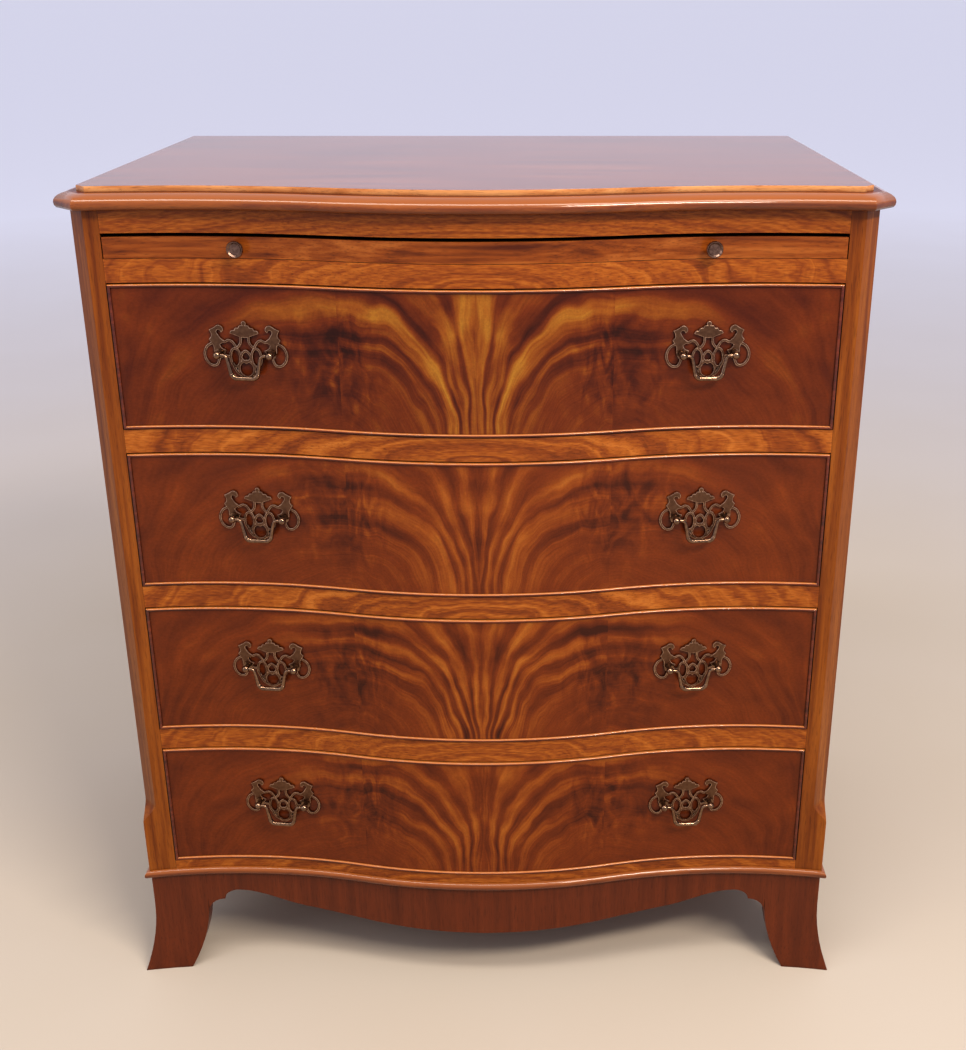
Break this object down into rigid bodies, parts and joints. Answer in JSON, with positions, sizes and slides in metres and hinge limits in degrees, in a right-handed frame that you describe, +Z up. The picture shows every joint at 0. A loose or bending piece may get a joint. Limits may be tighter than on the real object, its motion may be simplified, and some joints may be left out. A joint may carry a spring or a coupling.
{
  "type": "serpentine chest of drawers",
  "caption": "Serpentine-front chest of drawers with a pull-out brushing slide, cockbeaded drawers, pierced plates with swan-neck bail handles and splayed bracket feet.",
  "frame": {"origin": "on the floor, at the middle of the whole piece's width and depth", "axes": "+Z is up, the drawer fronts face -Y and pull towards -Y, and +X is on the right of someone who faces them"},
  "size_m": [0.78, 0.508, 0.876],
  "materials": {
    "mahogany": "polished straight-grained mahogany",
    "mahogany_dark": "polished dark mahogany",
    "flame_veneer": "polished flame mahogany veneer",
    "pine": "unfinished sanded softwood",
    "brass": "antique lacquered brass"
  },
  "bodies": {
    "case": {"top_board": "mahogany", "top_moulding": "mahogany", "side_left": "mahogany", "side_right": "mahogany", "corner_post_left": "mahogany", "corner_post_right": "mahogany", "back_panel": "pine", "bottom_board": "mahogany", "top_rail": "mahogany", "slide_rail": "mahogany", "drawer_rails": "mahogany", "drawer_runners": "pine", "base_moulding": "mahogany_dark", "front_apron": "mahogany_dark", "side_aprons": "mahogany_dark", "front_feet": "mahogany_dark", "back_feet": "mahogany_dark"},
    "slide": {"slide_board": "mahogany", "slide_front": "mahogany", "slide_knobs": "brass"},
    "drawer_1": {"drawer_1_front": "flame_veneer", "drawer_1_cockbead": "mahogany", "drawer_1_side_left": "pine", "drawer_1_side_right": "pine", "drawer_1_back": "pine", "drawer_1_bottom": "pine", "drawer_1_handle_plates": "brass", "drawer_1_posts": "brass"},
    "bail_1_left": {"drawer_1_bail_left": "brass"},
    "bail_1_right": {"drawer_1_bail_right": "brass"},
    "drawer_2": {"drawer_2_front": "flame_veneer", "drawer_2_cockbead": "mahogany", "drawer_2_side_left": "pine", "drawer_2_side_right": "pine", "drawer_2_back": "pine", "drawer_2_bottom": "pine", "drawer_2_handle_plates": "brass", "drawer_2_posts": "brass"},
    "bail_2_left": {"drawer_2_bail_left": "brass"},
    "bail_2_right": {"drawer_2_bail_right": "brass"},
    "drawer_3": {"drawer_3_front": "flame_veneer", "drawer_3_cockbead": "mahogany", "drawer_3_side_left": "pine", "drawer_3_side_right": "pine", "drawer_3_back": "pine", "drawer_3_bottom": "pine", "drawer_3_handle_plates": "brass", "drawer_3_posts": "brass"},
    "bail_3_left": {"drawer_3_bail_left": "brass"},
    "bail_3_right": {"drawer_3_bail_right": "brass"},
    "drawer_4": {"drawer_4_front": "flame_veneer", "drawer_4_cockbead": "mahogany", "drawer_4_side_left": "pine", "drawer_4_side_right": "pine", "drawer_4_back": "pine", "drawer_4_bottom": "pine", "drawer_4_handle_plates": "brass", "drawer_4_posts": "brass"},
    "bail_4_left": {"drawer_4_bail_left": "brass"},
    "bail_4_right": {"drawer_4_bail_right": "brass"}
  },
  "joints": [
    {"name": "slide_pull", "type": "slide", "parent": "case", "child": "slide", "axis": [0, -1, 0], "range_m": [0, 0.26]},
    {"name": "drawer_1_slide", "type": "slide", "parent": "case", "child": "drawer_1", "axis": [0, -1, 0], "range_m": [0, 0.35]},
    {"name": "bail_1_left_swing", "type": "hinge", "parent": "drawer_1", "child": "bail_1_left", "pos_m": [-0.221, -0.22383, 0.72095], "axis": [-0.9962, 0.0871, 0], "range_deg": [-12, 190]},
    {"name": "bail_1_right_swing", "type": "hinge", "parent": "drawer_1", "child": "bail_1_right", "pos_m": [0.221, -0.22383, 0.72095], "axis": [-0.9962, -0.0871, 0], "range_deg": [-12, 190]},
    {"name": "drawer_2_slide", "type": "slide", "parent": "case", "child": "drawer_2", "axis": [0, -1, 0], "range_m": [0, 0.35]},
    {"name": "bail_2_left_swing", "type": "hinge", "parent": "drawer_2", "child": "bail_2_left", "pos_m": [-0.221, -0.22383, 0.55345], "axis": [-0.9962, 0.0871, 0], "range_deg": [-12, 190]},
    {"name": "bail_2_right_swing", "type": "hinge", "parent": "drawer_2", "child": "bail_2_right", "pos_m": [0.221, -0.22383, 0.55345], "axis": [-0.9962, -0.0871, 0], "range_deg": [-12, 190]},
    {"name": "drawer_3_slide", "type": "slide", "parent": "case", "child": "drawer_3", "axis": [0, -1, 0], "range_m": [0, 0.35]},
    {"name": "bail_3_left_swing", "type": "hinge", "parent": "drawer_3", "child": "bail_3_left", "pos_m": [-0.221, -0.22383, 0.38595], "axis": [-0.9962, 0.0871, 0], "range_deg": [-12, 190]},
    {"name": "bail_3_right_swing", "type": "hinge", "parent": "drawer_3", "child": "bail_3_right", "pos_m": [0.221, -0.22383, 0.38595], "axis": [-0.9962, -0.0871, 0], "range_deg": [-12, 190]},
    {"name": "drawer_4_slide", "type": "slide", "parent": "case", "child": "drawer_4", "axis": [0, -1, 0], "range_m": [0, 0.35]},
    {"name": "bail_4_left_swing", "type": "hinge", "parent": "drawer_4", "child": "bail_4_left", "pos_m": [-0.221, -0.22383, 0.21845], "axis": [-0.9962, 0.0871, 0], "range_deg": [-12, 190]},
    {"name": "bail_4_right_swing", "type": "hinge", "parent": "drawer_4", "child": "bail_4_right", "pos_m": [0.221, -0.22383, 0.21845], "axis": [-0.9962, -0.0871, 0], "range_deg": [-12, 190]}
  ]
}
